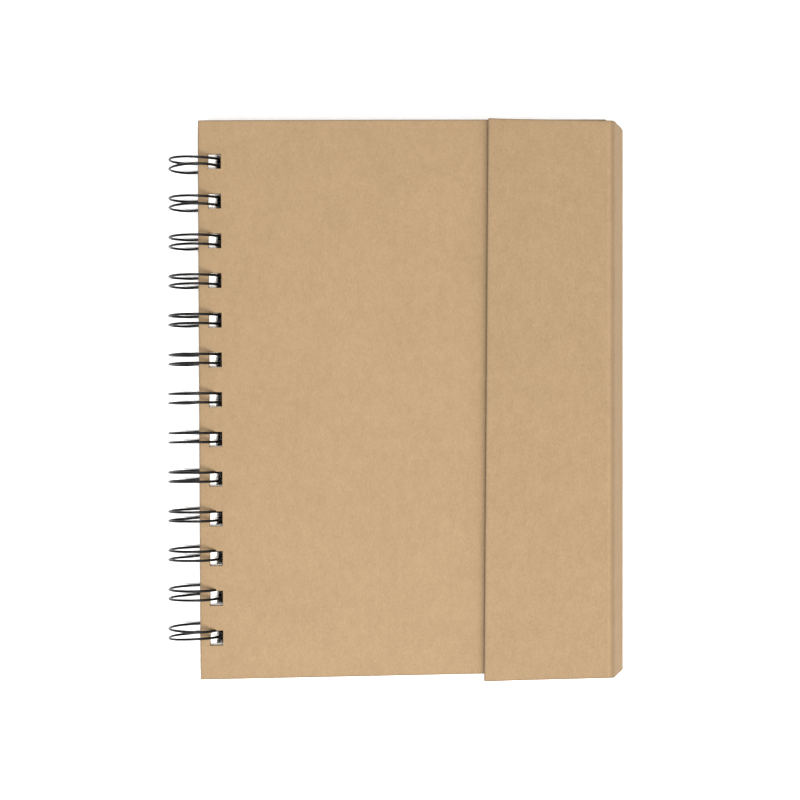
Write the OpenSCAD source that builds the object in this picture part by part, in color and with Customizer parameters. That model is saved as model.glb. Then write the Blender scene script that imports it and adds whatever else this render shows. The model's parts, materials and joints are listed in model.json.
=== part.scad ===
// Sketchbook bound with a twin-loop wire, with a hard cover that wraps the fore edge and closes
// with a flap. Millimetres, +Z up. The book lies on its back, bound side at -X, foot at -Y.
// The origin is on the table, in the middle of the book's outline.
// Every piece is drawn about the binding axis and then laid on the table by book().

/* [Paper block] */
// Number of sheets in each of the five leaves that turn with the cover
leaf_sheets = 2; // [1:1:2]
// Number of sheets in each of the four gatherings that stay on the back
gathering_sheets = 5; // [4:1:6]
// Sheet width, bound edge to fore edge
sheet_w = 130.2; // [110:0.2:131]
// Sheet height, head to foot
sheet_h = 176.6; // [172:0.2:178]
// Thickness of one sheet
sheet_t = 0.27; // [0.2:0.01:0.28]
// Height that one sheet takes in the block, air included
sheet_step = 0.29; // [0.29:0.01:0.3]

/* [Covers] */
// Front cover width, bound edge to fore edge
cover_w = 131.2; // [120:0.2:131.4]
// Front cover height, head to foot
cover_h = 178.6; // [177:0.2:180]
// Height of the back, the fore-edge panel and the flap
case_h = 180.2; // [178:0.2:184]
// Core board thickness
board_t = 1.4; // [1.2:0.1:1.5]
// Covering paper thickness
kraft_t = 0.3; // [0.2:0.05:0.3]
// Lining paper thickness
lining_t = 0.2; // [0.1:0.05:0.2]
// How far the flap reaches over the front cover
flap_w = 40.4; // [25:0.2:60]
// Distance of the front cover's middle above the back's middle
cover_up = 0.5; // [0:0.1:0.8]

/* [Closure] */
// Diameter of the magnet and of the steel plate
disc_d = 8.8; // [6:0.2:12]
// Thickness of the magnet and of the steel plate
disc_t = 0.9; // [0.5:0.1:1]
// Distance of the magnet's middle from the flap's free edge
disc_in = 15.7; // [8:0.1:18]

/* [Binding] */
// Number of twin loops
loops = 13; // [7:2:13]
// Distance between loops
pitch = 12.7; // [12.7:0.1:12.9]
// Middle radius of a loop
loop_r = 8.5; // [8.4:0.1:8.7]
// Wire diameter
wire_d = 1.0; // [0.8:0.1:1.2]
// Distance between the two wires of a loop
twin = 2.8; // [2.4:0.1:3]
// Width of a punched hole, away from the bound edge
hole_w = 4.2; // [4:0.1:4.4]
// Height of a punched hole, along the bound edge
hole_h = 4.8; // [4.6:0.1:5.2]
// Distance of the loops' middle above the back's middle
loops_up = 0.7; // [0:0.1:1]

/* [Hidden] */
leaves = 5;
gatherings = 4;
turning_sheets = leaves * leaf_sheets;
staying_sheets = gatherings * gathering_sheets;
wall = board_t + kraft_t + lining_t;
gap = 0.3;
// heights above the binding axis
back_bot = -7.4;
back_top = back_bot + wall;
pages_bot = back_top;
staying_top = pages_bot + staying_sheets * sheet_step;
pages_top = staying_top + turning_sheets * sheet_step;
cover_bot = pages_top;
cover_top = cover_bot + wall;
flap_bot = cover_top + gap;
// distances from the binding axis, towards the fore edge
cover_x = 1.4;
sheet_x = 1.8;
back_x = -0.1;
cover_hole_x = cover_x + 3.2;
sheet_hole_x = sheet_x + 3.2;
back_hole_x = back_x + 3.2;
// fold axes: both beads are as thick as the walls they join
fold_r = wall / 2;
low_x = 138.65;
low_z = back_bot + fold_r;
high_x = 134.0;
high_z = flap_bot + fold_r;
fold_room = 1.65;
lean = atan((low_x - high_x) / (high_z - low_z));
panel_w = sqrt(pow(low_x - high_x, 2) + pow(high_z - low_z, 2)) - 2 * fold_room;
// the loops end under the back: tips at one side of the seam, links at the other
tip_at = 279;
link_at = -62;
link_bend = 1.2;
stub = 2;
// bends are a hair thicker than the wire, so that what laps into them ends inside them
bend_d = wire_d + 0.06;
lap = 0.2;
lap_angle = 360 * lap / (2 * PI * loop_r);
disc_room = 0.05;
disc_x = high_x - flap_w + disc_in;
// the book rests on its loops and on the lower fold
loops_out = loop_r + wire_d / 2;
lie = asin((loops_out + low_z - fold_r) / low_x);
reach = low_x * cos(lie) + low_z * sin(lie) + fold_r;
bind_x = (loops_out - reach) / 2;
$fn = 48;
e = 0.01;

kraft = "#be9f78";
core = "#a98f6e";
cream = "#d9cdb8";
paper = "#f3f1ea";
steel = "#1b1b1d";
nickel = "#a9abad";

// lays a piece, drawn about the binding axis, on the table
module book() {
    translate([bind_x, 0, loops_out])
        rotate([0, lie, 0])
            children();
}

// puts a piece, drawn as if the fore-edge panel stood on the lower fold, at the panel's lean
module on_fore_edge() {
    book()
        translate([low_x, 0, low_z])
            rotate([0, -lean, 0])
                children();
}

function loop_y(i) = loops_up + (i - (loops - 1) / 2) * pitch;

// one punched hole for each loop, as plan shapes
module hole_plan(x) {
    for (i = [0 : loops - 1])
        translate([x, loop_y(i) - hole_h / 2])
            square([hole_w, hole_h]);
}

// a flat piece with punched holes
module punched(x, w, h, y, z, t, hole_x) {
    translate([0, 0, z])
        linear_extrude(height = t)
            difference() {
                translate([x, y - h / 2])
                    square([w, h]);
                hole_plan(hole_x);
            }
}

// covering paper: an outer sheet with its edges turned over the board. A closed piece is wrapped
// all round, and any other runs on into a fold at its fore-edge end.
module wrapped(x, w, h, y, z, outer_up, closed) {
    inner_w = closed ? w - 2 * kraft_t : w - kraft_t + e;
    translate([x, y - h / 2, z])
        difference() {
            cube([w, h, wall]);
            translate([kraft_t, kraft_t, outer_up ? -e : kraft_t])
                cube([inner_w, h - 2 * kraft_t, wall - kraft_t + e]);
        }
}

module disc_at(x, y, z, d, t) {
    translate([x, y, z])
        cylinder(d = d, h = t);
}

// ---------- back cover ----------
back_w = low_x - fold_room - back_x;

module back_board() {
    color(core) book()
        punched(back_x + kraft_t, back_w - kraft_t, case_h - 2 * kraft_t, 0,
            back_bot + kraft_t, board_t, back_hole_x);
}

module back_cover_paper() {
    color(kraft) book()
        difference() {
            wrapped(back_x, back_w, case_h, 0, back_bot, false, false);
            translate([0, 0, back_bot - 1])
                linear_extrude(height = wall + 2)
                    hole_plan(back_hole_x);
        }
}

module back_lining() {
    color(cream) book()
        punched(back_x + kraft_t, back_w - kraft_t, case_h - 2 * kraft_t, 0,
            back_top - lining_t, lining_t, back_hole_x);
}

// ---------- fore-edge panel, drawn standing on the lower fold with its outer face at +X ----------
module fore_edge_board() {
    color(core) on_fore_edge()
        translate([-fold_r + lining_t, -case_h / 2 + kraft_t, fold_room])
            cube([board_t, case_h - 2 * kraft_t, panel_w]);
}

module fore_edge_cover_paper() {
    color(kraft) on_fore_edge()
        difference() {
            translate([-fold_r, -case_h / 2, fold_room])
                cube([wall, case_h, panel_w]);
            translate([-fold_r - e, -case_h / 2 + kraft_t, fold_room - e])
                cube([wall - kraft_t + e, case_h - 2 * kraft_t, panel_w + 2 * e]);
        }
}

module fore_edge_lining() {
    color(cream) on_fore_edge()
        translate([-fold_r, -case_h / 2 + kraft_t, fold_room])
            cube([lining_t, case_h - 2 * kraft_t, panel_w]);
}

// a fold is a bead of covering paper pressed into the gap between two boards
module bead(x, z) {
    book()
        translate([x, case_h / 2, z])
            rotate([90, 0, 0])
                cylinder(r = fold_r, h = case_h);
}

module lower_fold() {
    color(kraft) bead(low_x, low_z);
}

module upper_fold() {
    color(kraft) bead(high_x, high_z);
}

// ---------- flap ----------
flap_x = high_x - flap_w;
flap_board_w = flap_w - fold_room;

module flap_board() {
    color(core) book()
        difference() {
            translate([flap_x + kraft_t, -case_h / 2 + kraft_t, flap_bot + lining_t])
                cube([flap_board_w - kraft_t, case_h - 2 * kraft_t, board_t]);
            disc_at(disc_x, 0, flap_bot + lining_t - e, disc_d + 2 * disc_room,
                disc_t + disc_room + e);
        }
}

module flap_cover_paper() {
    color(kraft) book()
        wrapped(flap_x, flap_board_w, case_h, 0, flap_bot, true, false);
}

module flap_lining() {
    color(cream) book()
        translate([flap_x + kraft_t, -case_h / 2 + kraft_t, flap_bot])
            cube([flap_board_w - kraft_t, case_h - 2 * kraft_t, lining_t]);
}

module flap_magnet() {
    color(nickel) book()
        disc_at(disc_x, 0, flap_bot + lining_t, disc_d, disc_t);
}

// ---------- front cover ----------
module front_board() {
    color(core) book()
        difference() {
            punched(cover_x + kraft_t, cover_w - 2 * kraft_t, cover_h - 2 * kraft_t, cover_up,
                cover_bot + lining_t, board_t, cover_hole_x);
            disc_at(disc_x, 0, cover_top - kraft_t - disc_t - disc_room,
                disc_d + 2 * disc_room, disc_t + disc_room + e);
        }
}

module front_cover_paper() {
    color(kraft) book()
        difference() {
            wrapped(cover_x, cover_w, cover_h, cover_up, cover_bot, true, true);
            translate([0, 0, cover_bot - 1])
                linear_extrude(height = wall + 2)
                    hole_plan(cover_hole_x);
        }
}

module front_lining() {
    color(cream) book()
        punched(cover_x + kraft_t, cover_w - 2 * kraft_t, cover_h - 2 * kraft_t, cover_up,
            cover_bot, lining_t, cover_hole_x);
}

module front_steel_plate() {
    color(nickel) book()
        disc_at(disc_x, 0, cover_top - kraft_t - disc_t, disc_d, disc_t);
}

// ---------- paper ----------
// sheets are counted from the back cover up
module sheets(first, count) {
    for (k = [first : first + count - 1])
        punched(sheet_x, sheet_w, sheet_h, cover_up, pages_bot + k * sheet_step, sheet_t,
            sheet_hole_x);
}

// turning leaves are counted from the front cover down
module leaf(n) {
    color(paper) book()
        sheets(staying_sheets + turning_sheets - n * leaf_sheets, leaf_sheets);
}

module gathering(n) {
    color(paper) book()
        sheets(staying_sheets - n * gathering_sheets, gathering_sheets);
}

// ---------- wire ----------
// a point on a loop: X outwards, Y along the wire, Z towards the foot
module on_loop(a, y) {
    translate([0, y, 0])
        rotate([90, 0, 0])
            rotate([0, 0, a])
                translate([loop_r, 0, 0])
                    children();
}

// a bent length of wire in the plane of Y and Z, from one angle and on
module bend(r, from, turn) {
    rotate([0, 90, 0])
        rotate([0, 0, from])
            rotate_extrude(angle = turn)
                translate([r, 0])
                    circle(d = bend_d);
}

// one wire of a loop, its two ends lapped into the bends that follow
module loop_wire(y) {
    translate([0, y, 0])
        rotate([90, 0, 0])
            rotate([0, 0, link_at - lap_angle])
                rotate_extrude(angle = tip_at - link_at + 2 * lap_angle)
                    translate([loop_r, 0])
                        circle(d = wire_d);
}

// two wires, joined at the tip and turned outwards at the foot
module twin_loop(y) {
    loop_wire(y - twin / 2);
    loop_wire(y + twin / 2);
    on_loop(tip_at, y)
        bend(twin / 2, 0, 180);
    on_loop(link_at, y) {
        translate([0, 0, twin / 2 + link_bend])
            bend(link_bend, -90, 90);
        translate([0, 0, -twin / 2 - link_bend])
            bend(link_bend, 180, 90);
    }
}

// a straight length from y towards the head, its two ends lapped into the bends
module link(y, length) {
    on_loop(link_at, y - lap)
        translate([0, -link_bend, -length - 2 * lap])
            cylinder(d = wire_d, h = length + 2 * lap);
}

module binding_wire() {
    side = twin / 2 + link_bend;
    color(steel) book() {
        for (i = [0 : loops - 1])
            twin_loop(loop_y(i));
        for (i = [0 : loops - 2])
            link(loop_y(i) + side, pitch - 2 * side);
        link(loop_y(loops - 1) + side, stub);
        link(loop_y(0) - side - stub, stub);
    }
}

back_board();
back_cover_paper();
back_lining();
fore_edge_board();
fore_edge_cover_paper();
fore_edge_lining();
lower_fold();
upper_fold();
flap_board();
flap_cover_paper();
flap_lining();
flap_magnet();
front_board();
front_cover_paper();
front_lining();
front_steel_plate();
binding_wire();
leaf(1);  // leaf_1
leaf(2);  // leaf_2
leaf(3);  // leaf_3
leaf(4);  // leaf_4
leaf(5);  // leaf_5
gathering(1);  // gathering_1
gathering(2);  // gathering_2
gathering(3);  // gathering_3
gathering(4);  // gathering_4
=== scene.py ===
# %% [markdown]
# # A wire-bound sketchbook in kraft board
#
# The book is a block of punched drawing paper between two boards, held by a black twin-loop wire.
# Its back board runs on round the fore edge and ends in a flap that lies on the front board.
# This lesson dresses a finished working model. The main places and sizes are read from that model,
# so each paper skin, sheet and length of wire is built where the working part is. The small
# lengths that a working model leaves out, such as a fold's crease, are named where they are used.

# %% Load the working model
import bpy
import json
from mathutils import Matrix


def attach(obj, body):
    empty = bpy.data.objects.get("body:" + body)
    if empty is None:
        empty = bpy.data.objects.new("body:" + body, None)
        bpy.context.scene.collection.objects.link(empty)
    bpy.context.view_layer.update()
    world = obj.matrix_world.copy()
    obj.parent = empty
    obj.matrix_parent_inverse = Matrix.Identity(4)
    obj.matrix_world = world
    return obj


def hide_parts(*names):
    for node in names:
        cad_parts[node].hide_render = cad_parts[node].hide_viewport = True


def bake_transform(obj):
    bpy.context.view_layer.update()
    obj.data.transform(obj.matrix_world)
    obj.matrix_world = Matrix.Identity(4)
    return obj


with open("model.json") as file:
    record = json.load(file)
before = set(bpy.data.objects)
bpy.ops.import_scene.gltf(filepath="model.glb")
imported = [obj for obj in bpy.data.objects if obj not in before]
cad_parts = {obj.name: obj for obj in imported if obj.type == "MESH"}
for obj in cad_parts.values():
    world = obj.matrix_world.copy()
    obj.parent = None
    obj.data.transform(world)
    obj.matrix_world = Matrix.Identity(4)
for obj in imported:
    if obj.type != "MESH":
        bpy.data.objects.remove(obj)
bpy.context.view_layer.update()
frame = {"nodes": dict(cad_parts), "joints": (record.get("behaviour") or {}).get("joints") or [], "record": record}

import json
import math
import random

import bmesh
import bpy
from mathutils import Matrix, Vector

MM = 0.001

# %% [markdown]
# ## The book's own axes
#
# The loops of the wire are thicker than the book, so the closed book leans a little on the table.
# Building a leaning box point by point is awkward. Instead every piece is drawn in the book's own
# axes, with the binding axis at zero, X towards the fore edge and Z up, and one matrix then lays it
# on the table. The lean is read from the flap's face and the binding axis from the cover's hinge.

# %% Axes of the book
joints = {joint["name"]: joint for joint in frame["joints"]}
flap_normal = frame["record"]["mounts"][0]["axis"]
lean_on_table = math.atan2(flap_normal[0], flap_normal[2])
binding = Vector(joints["front_cover_turn"]["pos_m"])
lay = Matrix.Translation(binding) @ Matrix.Rotation(lean_on_table, 4, "Y")
unlay = lay.inverted()


def span(node):
    """The lowest and highest corner of a working part, in the book's axes."""
    corners = [unlay @ v.co for v in frame["nodes"][node].data.vertices]
    low = Vector([min(c[k] for c in corners) for k in range(3)])
    high = Vector([max(c[k] for c in corners) for k in range(3)])
    return low, high


def levels(node, axis):
    """The different coordinates that a part's corners have along one axis, from low to high."""
    return sorted({round((unlay @ v.co)[axis], 6) for v in frame["nodes"][node].data.vertices})


def punched_holes(node):
    """Where a punched part is open: its holes' near and far side, and each hole's foot and head."""
    near, far = levels(node, 0)[1:-1]
    sides = levels(node, 1)[1:-1]
    return near, far, list(zip(sides[0::2], sides[1::2]))


cover_holes = punched_holes("front_lining")
back_holes = punched_holes("back_lining")
sheet_holes = punched_holes("leaf_1")
print("lean", round(math.degrees(lean_on_table), 2), "deg,", len(cover_holes[2]), "punched holes")

# %% [markdown]
# ## The camera
#
# The book is seen from straight above, from about half a metre, through a lens long enough to keep
# its edges nearly parallel. A camera with no rotation looks straight down, so only its place and
# its focal length are needed.

# %% Camera above the middle of the book
CAMERA_ABOVE_COVER = 490 * MM
LENS_MM = 68.8
ASIDE = 0.9 * MM

cover_low, cover_high = span("front_cover_paper")
cover_face = binding.z + cover_high.z
camera_data = bpy.data.cameras.new("camera")
camera_data.sensor_width = 36
camera_data.lens = LENS_MM
camera = bpy.data.objects.new("camera", camera_data)
camera.location = (ASIDE, 0, cover_face + CAMERA_ABOVE_COVER)
bpy.context.scene.collection.objects.link(camera)
bpy.context.scene.camera = camera
print("the camera is", round(camera.location.z / MM), "mm above the table")

# %% [markdown]
# ## Light
#
# Soft daylight from the reader's side brightens the foot of the book and throws each loop's shadow
# towards the head. One soft square light near the book does that. A wider and higher one evens it
# out from the right, and a white surround fills the shadows.

# %% Light
SURROUND = 1.08


def lamp(name, place, size, watts):
    """A square soft light that looks at the middle of the book."""
    data = bpy.data.lights.new(name, "AREA")
    data.shape = "SQUARE"
    data.size = size
    data.energy = watts
    light = bpy.data.objects.new(name, data)
    light.location = place
    light.rotation_euler = (Vector((0, 0, 0)) - Vector(place)).to_track_quat("-Z", "Y").to_euler()
    bpy.context.scene.collection.objects.link(light)


lamp("window", place=(0.02, -0.40, 0.80), size=0.40, watts=10.2)
lamp("ceiling", place=(0.52, -0.36, 1.20), size=0.9, watts=12.8)

world = bpy.data.worlds.new("surround")
world.use_nodes = True
background = world.node_tree.nodes["Background"]
background.inputs["Color"].default_value = (1, 1, 1, 1)
background.inputs["Strength"].default_value = SURROUND
bpy.context.scene.world = world
bpy.context.scene.view_settings.view_transform = "Standard"
print(len(bpy.data.lights), "soft lights and a white surround of strength", SURROUND)

# %% [markdown]
# ## Materials from small parts
#
# Every finish here is a principled shader with noise worked into its colour, roughness and bump.
# Each skin carries its flat place as an attribute named `rest`, so that the grain stays put when a
# fold bends. The helpers below keep each finish down to a few readable lines.

# %% Helpers for materials
STRAND_EDGE = 0.06


class Finish:
    """A new material, with short ways to add nodes to it."""

    def __init__(self, name, roughness, specular):
        self.material = bpy.data.materials.new(name)
        self.material.use_nodes = True
        self.tree = self.material.node_tree
        self.shader = self.tree.nodes["Principled BSDF"]
        self.shader.inputs["Roughness"].default_value = roughness
        self.shader.inputs["Specular IOR Level"].default_value = specular

    def node(self, kind, **inputs):
        """A new node with some of its inputs set. An underscore stands for a space in a name."""
        made = self.tree.nodes.new(kind)
        for name, value in inputs.items():
            self.put(value, made.inputs[name.replace("_", " ")])
        return made

    def put(self, value, socket):
        """Links a value to this socket if it is a socket itself, and sets it otherwise."""
        if isinstance(value, bpy.types.NodeSocket):
            self.tree.links.new(value, socket)
        else:
            socket.default_value = value

    def flat_place(self):
        """Where a point of the flat paper is, which a fold doesn't change."""
        named = self.tree.nodes.new("ShaderNodeAttribute")
        named.attribute_name = "rest"
        return named.outputs["Vector"]

    def object_place(self):
        """Where a point of the object is, for pieces that never bend."""
        return self.tree.nodes.new("ShaderNodeTexCoord").outputs["Object"]

    def attribute(self, name):
        """An amount from 0 to 1 that the piece carries at each of its points."""
        named = self.tree.nodes.new("ShaderNodeAttribute")
        named.attribute_name = name
        return named.outputs["Fac"]

    def stretched(self, vector, scale, turn=0.0):
        """The place, turned about Z and then scaled, for grain that runs one way."""
        turned = self.node("ShaderNodeMapping", Vector=vector, Rotation=(0, 0, math.radians(turn)))
        scaled = self.node("ShaderNodeMapping", Vector=turned.outputs[0], Scale=scale)
        return scaled.outputs[0]

    def noise(self, vector, size_mm, detail, rough=0.55):
        """Cloudy noise from 0 to 1, with features about size_mm across."""
        made = self.node("ShaderNodeTexNoise", Vector=vector, Scale=1 / (size_mm * MM),
                         Detail=detail, Roughness=rough)
        return made.outputs["Fac"]

    def strands(self, vector, length_mm, width_mm, turn, share):
        """Thin short strands that run one way: 1 on a strand and 0 between strands."""
        along = self.stretched(vector, (1 / length_mm, 1 / width_mm, 1 / width_mm), turn)
        made = self.node("ShaderNodeTexNoise", Vector=along, Scale=1 / MM, Detail=2.0,
                         Roughness=0.5)
        return self.ramp(made.outputs["Fac"], 1 - share, 1 - share + STRAND_EDGE)

    def ramp(self, value, low, high):
        """Takes low to 0 and high to 1, and stops there."""
        made = self.node("ShaderNodeMapRange", Value=value, From_Min=low, From_Max=high)
        return made.outputs["Result"]

    def sums(self, operation, a, b):
        """One sum done on two values, each of them a number or a socket."""
        made = self.tree.nodes.new("ShaderNodeMath")
        made.operation = operation
        self.put(a, made.inputs[0])
        self.put(b, made.inputs[1])
        return made.outputs[0]

    def blend(self, amount, a, b, kind="MIX"):
        """Colour a with colour b laid over it by an amount."""
        made = self.tree.nodes.new("ShaderNodeMix")
        made.data_type = "RGBA"
        made.blend_type = kind
        self.put(amount, made.inputs["Factor"])
        self.put(a, made.inputs["A"])
        self.put(b, made.inputs["B"])
        return made.outputs["Result"]

    def bump(self, height, depth_mm, strength, under=None):
        """Raises the surface by a height field, over another bump if there is one under it."""
        made = self.node("ShaderNodeBump", Height=height, Strength=strength,
                         Distance=depth_mm * MM)
        if under:
            self.put(under, made.inputs["Normal"])
        return made.outputs["Normal"]


print("helpers for nodes:", [name for name in vars(Finish) if not name.startswith("_")])

# %% [markdown]
# ## Colours for shaders
#
# Colours are easiest to pick as they look on a display, from 0 to 255. A shader works with amounts
# of light, which rise much more steeply, so each picked colour goes through one conversion.

# %% Colours for shaders
def shade(red, green, blue):
    """A display colour from 0 to 255 as the linear colour that a shader takes."""
    linear = [((c / 255 + 0.055) / 1.055) ** 2.4 for c in (red, green, blue)]
    return (*linear, 1.0)


print("a grey of 128 is", round(shade(128, 128, 128)[0], 3), "to a shader")

# %% [markdown]
# ## Kraft covering paper
#
# Kraft is unbleached pulp. Close to, it is a warm brown felt of short fibres that lie every way,
# some darker and some nearly white, over soft cloudy patches from the mill's screen. One noise
# would look like camouflage, so four sizes of cloud are laid over each other, and then strands in
# five directions. The finer ones also raise the surface a few hundredths of a millimetre. Edges,
# where fingers rub, are greyer, and the crease of each fold is painted darker as painted shade.

# %% Colours and layers of kraft paper
KRAFT = shade(150, 126, 95)
KRAFT_DARK = shade(127, 104, 76)
KRAFT_LIGHT = shade(166, 143, 110)
KRAFT_RUBBED = shade(112, 97, 79)
# Painted shade: the darker colour laid along the crease of a fold.
KRAFT_CREASE_SHADE = shade(104, 88, 68)
GRAIN_TURN = 90
CLOUD_SHOWS, PATCH_SHOWS, SPECKLE_SHOWS, GRAIN_SHOWS = 0.35, 0.16, 0.32, 0.22
# How strongly the edge wear and the painted shade of a crease show.
RUB_SHOWS, CREASE_SHADE_SHOWS = 0.8, 0.42
STRAND_LONG, STRAND_WIDE = 2.0, 0.24
# Each layer of strands: its direction in degrees, its share of the surface, its colour, how it shows.
STRAND_LAYERS = (
    (80, 0.37, KRAFT_DARK, 0.26),
    (101, 0.37, KRAFT_LIGHT, 0.26),
    (52, 0.36, KRAFT_LIGHT, 0.24),
    (131, 0.36, KRAFT_DARK, 0.24),
    (6, 0.36, KRAFT_DARK, 0.22),
)
# The flap's lower tone is painted shade on the same paper.
COVER_TONE, FLAP_SHADE_TONE = 0.722, 0.688
GREEN_OF_TONE = 0.985
print("strands", STRAND_LONG, "by", STRAND_WIDE, "mm in", len(STRAND_LAYERS), "layers")

# %% [markdown]
# ## Kraft paper as a material
#
# The layers go on from the widest cloud to the finest grain, then the strands, and last the wear
# that the piece carries. The flap is painted a little darker than the cover, as painted shade, so the
# whole is multiplied by a tone at the end and each piece can have its own.

# %% Kraft paper
def kraft_finish(name, tone):
    """Covering paper. A lower tone darkens the same paper; on the flap it is painted shade."""
    finish = Finish(name, roughness=0.86, specular=0.12)
    at = finish.flat_place()
    felt = finish.stretched(at, (0.62, 1.0, 1.0), GRAIN_TURN)
    cloud = finish.noise(at, size_mm=11.0, detail=3.0)
    patch = finish.noise(felt, size_mm=2.6, detail=3.0, rough=0.5)
    mottle = finish.noise(felt, size_mm=0.55, detail=5.0, rough=0.68)
    grain = finish.noise(at, size_mm=0.30, detail=3.0, rough=0.6)

    def mottled(colour, field, low, high, amount):
        """Lays light and dark felt over a colour, by a noise that is cut between two levels."""
        felted = finish.blend(finish.ramp(field, low, high), KRAFT_LIGHT, KRAFT_DARK)
        return finish.blend(amount, colour, felted)

    clouded = finish.blend(finish.ramp(cloud, 0.32, 0.70), KRAFT, KRAFT_DARK)
    colour = finish.blend(CLOUD_SHOWS, KRAFT, clouded)
    colour = mottled(colour, patch, 0.34, 0.66, PATCH_SHOWS)
    colour = mottled(colour, mottle, 0.30, 0.70, SPECKLE_SHOWS)
    colour = mottled(colour, grain, 0.30, 0.70, GRAIN_SHOWS)
    fibre_height = None
    for turn, share, tint, amount in STRAND_LAYERS:
        strand = finish.strands(at, STRAND_LONG, STRAND_WIDE, turn, share)
        colour = finish.blend(finish.sums("MULTIPLY", strand, amount), colour, tint)
        fibre_height = strand if fibre_height is None else finish.sums("ADD", fibre_height, strand)
    rub = finish.sums("MULTIPLY", finish.attribute("wear"), finish.ramp(mottle, 0.1, 0.5))
    colour = finish.blend(finish.sums("MULTIPLY", rub, RUB_SHOWS), colour, KRAFT_RUBBED)
    # Painted shade: the crease of a fold is darkened in colour.
    groove = finish.attribute("groove")
    colour = finish.blend(finish.sums("MULTIPLY", groove, CREASE_SHADE_SHOWS), colour, KRAFT_CREASE_SHADE)
    colour = finish.blend(1.0, colour, (tone, tone * GREEN_OF_TONE, tone, 1), "MULTIPLY")
    finish.put(colour, finish.shader.inputs["Base Color"])
    finish.put(finish.sums("ADD", 0.80, finish.sums("MULTIPLY", grain, 0.14)),
               finish.shader.inputs["Roughness"])
    rough = finish.bump(grain, depth_mm=0.02, strength=0.35)
    fibres = finish.bump(fibre_height, depth_mm=0.012, strength=0.3, under=rough)
    felted = finish.bump(mottle, depth_mm=0.03, strength=0.2, under=fibres)
    finish.put(felted, finish.shader.inputs["Normal"])
    return finish.material


kraft = kraft_finish("kraft_paper", COVER_TONE)
# The flap's copy of the kraft is painted darker: painted shade.
shaded_flap_kraft = kraft_finish("kraft_paper_shaded_on_flap", FLAP_SHADE_TONE)
print("covering papers:", kraft.name, shaded_flap_kraft.name)

# %% [markdown]
# ## Lining paper, core board and drawing paper
#
# The lining is a smoother, paler sheet pasted over the turned edges. The core is pulp pressed in
# plies, so its cut edge is striped. Drawing paper is nearly white with a fine tooth that takes
# pencil; the tooth is bump, and a faint warm cloud keeps the white from looking like plastic. Its
# cut edges are greyer, in thin flat layers, because sheet after sheet shades the next.

# %% Lining, board and drawing paper
def lining_finish():
    """A smooth pale paper with a few crossed strands, greyer by its edges."""
    finish = Finish("lining_paper", roughness=0.82, specular=0.25)
    at = finish.flat_place()
    cloud = finish.noise(at, size_mm=6.0, detail=3.0)
    grain = finish.noise(at, size_mm=0.4, detail=4.0, rough=0.6)
    colour = finish.blend(finish.ramp(cloud, 0.35, 0.7), shade(147, 129, 104), shade(137, 119, 94))
    for turn, tint in ((20, shade(122, 104, 80)), (110, shade(163, 148, 126))):
        strand = finish.strands(at, length_mm=2.6, width_mm=0.14, turn=turn, share=0.33)
        colour = finish.blend(finish.sums("MULTIPLY", strand, 0.22), colour, tint)
    wear = finish.sums("MULTIPLY", finish.attribute("wear"), 0.35)
    colour = finish.blend(wear, colour, shade(118, 103, 83))
    finish.put(colour, finish.shader.inputs["Base Color"])
    finish.put(finish.bump(grain, depth_mm=0.02, strength=0.35), finish.shader.inputs["Normal"])
    return finish.material


def board_finish():
    """Pressed grey-brown pulp, in plies that show as stripes along a cut edge."""
    finish = Finish("core_board", roughness=0.92, specular=0.15)
    at = finish.object_place()
    plies = finish.noise(finish.stretched(at, (0.12, 0.12, 6.0)), size_mm=1.0, detail=3.0)
    crumb = finish.noise(at, size_mm=0.5, detail=5.0, rough=0.65)
    colour = finish.blend(finish.ramp(plies, 0.35, 0.65), shade(140, 116, 88), shade(116, 94, 70))
    colour = finish.blend(finish.sums("MULTIPLY", crumb, 0.4), colour, shade(96, 78, 58))
    finish.put(colour, finish.shader.inputs["Base Color"])
    finish.put(finish.bump(crumb, depth_mm=0.08, strength=0.5), finish.shader.inputs["Normal"])
    return finish.material


def drawing_paper_finish():
    """Nearly white paper with a tooth, and painted shade in layers along its edges."""
    finish = Finish("drawing_paper", roughness=0.88, specular=0.2)
    at = finish.flat_place()
    cloud = finish.noise(at, size_mm=14.0, detail=3.0)
    tooth = finish.noise(at, size_mm=0.3, detail=4.0, rough=0.65)
    felt = finish.noise(at, size_mm=1.1, detail=3.0, rough=0.5)
    colour = finish.blend(finish.ramp(cloud, 0.35, 0.7), shade(251, 250, 247), shade(247, 245, 239))
    # Painted shade: the sheets' cut edges are darkened in thin flat layers, where each sheet would shade the next.
    layers = finish.noise(finish.stretched(at, (0.03, 0.03, 2.5)), size_mm=1.0, detail=2.0)
    edge = finish.blend(finish.ramp(layers, 0.44, 0.58), shade(216, 211, 202), shade(172, 167, 157))
    colour = finish.blend(finish.attribute("wear"), colour, edge)
    finish.put(colour, finish.shader.inputs["Base Color"])
    toothed = finish.bump(tooth, depth_mm=0.02, strength=0.4)
    felted = finish.bump(felt, depth_mm=0.02, strength=0.25, under=toothed)
    finish.put(felted, finish.shader.inputs["Normal"])
    return finish.material


lining = lining_finish()
board = board_finish()
drawing_paper = drawing_paper_finish()
print("papers:", lining.name, board.name, drawing_paper.name)

# %% [markdown]
# ## Black wire and nickel
#
# Binding wire is steel in a thin nylon coat: black, softly shining, with a faint orange peel and a
# few scuffs along it. The magnet and its steel plate are nickel plated and brushed one way.

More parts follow.
